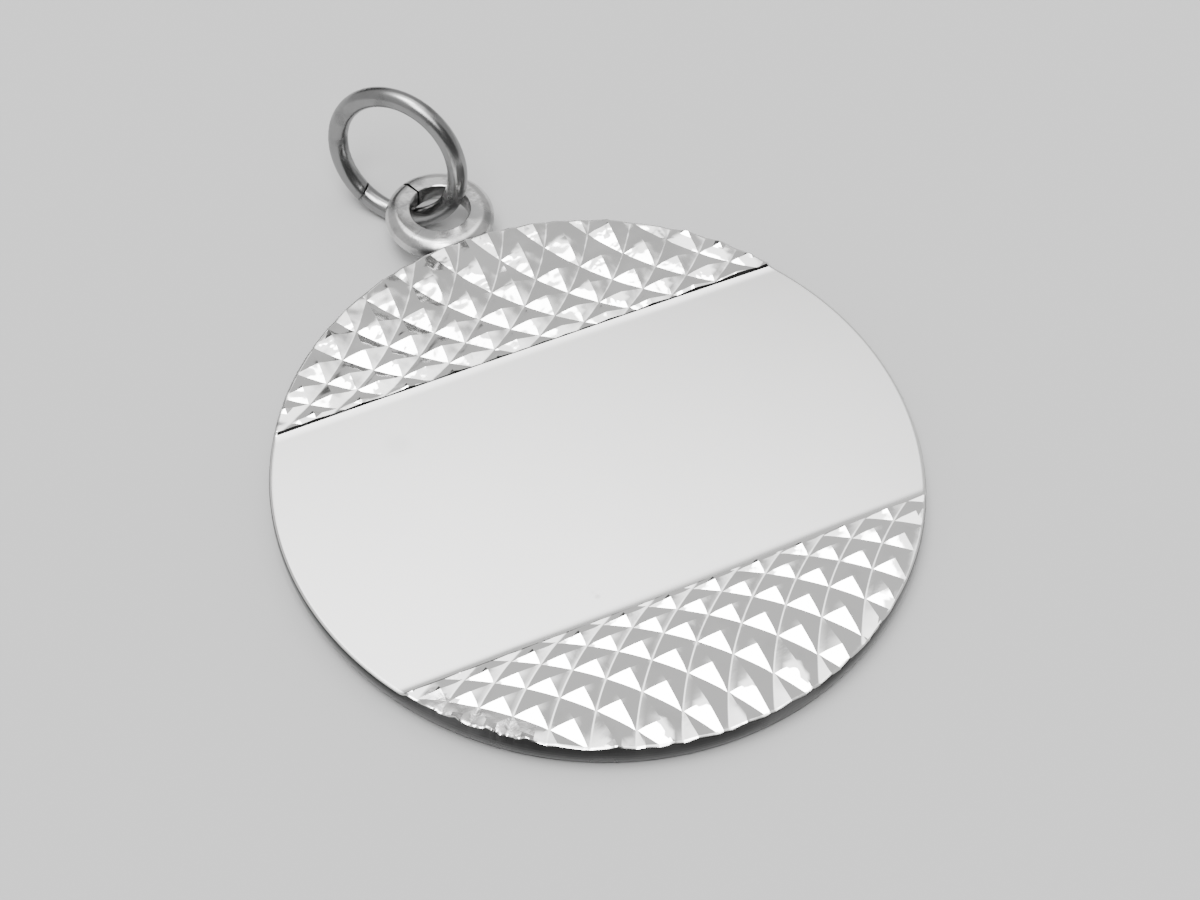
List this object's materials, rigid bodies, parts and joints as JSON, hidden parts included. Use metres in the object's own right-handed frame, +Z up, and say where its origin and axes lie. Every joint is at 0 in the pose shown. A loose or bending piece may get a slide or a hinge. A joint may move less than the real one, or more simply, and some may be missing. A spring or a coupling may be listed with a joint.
{
  "type": "disc pendant",
  "caption": "Round metal pendant with a sunk polished band between diamond-cut segments, a soldered eye and a split jump ring to hang it on a chain.",
  "frame": {"origin": "on the table, under the middle of the pendant's overall length and width", "axes": "+Z up from the table, +Y along the pendant from the plate to the jump ring, +X along the polished band"},
  "size_m": [0.024, 0.0306, 0.0061],
  "materials": {
    "disc": "polished silver, diamond-cut segments beside a sunk band",
    "jump_ring": "satin silver wire"
  },
  "bodies": {
    "root": {"disc": "disc", "jump_ring": "jump_ring"}
  },
  "joints": []
}
